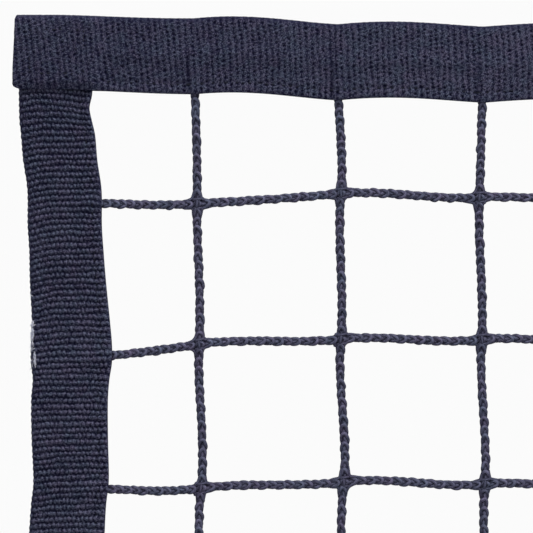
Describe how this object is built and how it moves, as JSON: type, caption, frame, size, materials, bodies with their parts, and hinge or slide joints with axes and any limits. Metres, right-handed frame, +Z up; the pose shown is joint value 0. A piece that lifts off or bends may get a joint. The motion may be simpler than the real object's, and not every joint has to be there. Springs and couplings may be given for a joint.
{
  "type": "tennis net",
  "caption": "Rectangular net panel for a small tennis court: square-mesh knitted netting edged all round with folded dark navy webbing.",
  "frame": {"origin": "middle of the net's lower edge, at court level, in the middle plane of the netting", "axes": "+X along the net's length to the right, +Y from the front face to the back face, +Z up to the head band"},
  "size_m": [2.997, 0.0092, 0.789],
  "materials": {
    "webbing": "matt woven polypropylene webbing, dark navy",
    "netting_cord": "matt knitted polyethylene cord, dark navy",
    "sewing_thread": "matt polyester thread, dark navy"
  },
  "bodies": {
    "root": {"cross_cord_01": "netting_cord", "cross_cord_02": "netting_cord", "cross_cord_03": "netting_cord", "cross_cord_04": "netting_cord", "cross_cord_05": "netting_cord", "cross_cord_06": "netting_cord", "cross_cord_07": "netting_cord", "cross_cord_08": "netting_cord", "cross_cord_09": "netting_cord", "cross_cord_10": "netting_cord", "cross_cord_11": "netting_cord", "cross_cord_12": "netting_cord", "cross_cord_13": "netting_cord", "cross_cord_14": "netting_cord", "cross_cord_15": "netting_cord", "cross_cord_16": "netting_cord", "foot_band": "webbing", "foot_border_cord": "netting_cord", "foot_left_corner_stitch": "sewing_thread", "foot_right_corner_stitch": "sewing_thread", "foot_seam_back_thread": "sewing_thread", "foot_seam_front_thread": "sewing_thread", "head_band": "webbing", "head_border_cord": "netting_cord", "head_left_corner_stitch": "sewing_thread", "head_right_corner_stitch": "sewing_thread", "head_seam_back_thread": "sewing_thread", "head_seam_front_thread": "sewing_thread", "left_border_cord": "netting_cord", "left_seam_back_thread": "sewing_thread", "left_seam_front_thread": "sewing_thread", "left_side_band": "webbing", "right_border_cord": "netting_cord", "right_seam_back_thread": "sewing_thread", "right_seam_front_thread": "sewing_thread", "right_side_band": "webbing", "upright_cords_01": "netting_cord", "upright_cords_02": "netting_cord", "upright_cords_03": "netting_cord", "upright_cords_04": "netting_cord", "upright_cords_05": "netting_cord", "upright_cords_06": "netting_cord", "upright_cords_07": "netting_cord", "upright_cords_08": "netting_cord", "upright_cords_09": "netting_cord", "upright_cords_10": "netting_cord", "upright_cords_11": "netting_cord", "upright_cords_12": "netting_cord", "upright_cords_13": "netting_cord"}
  },
  "joints": []
}
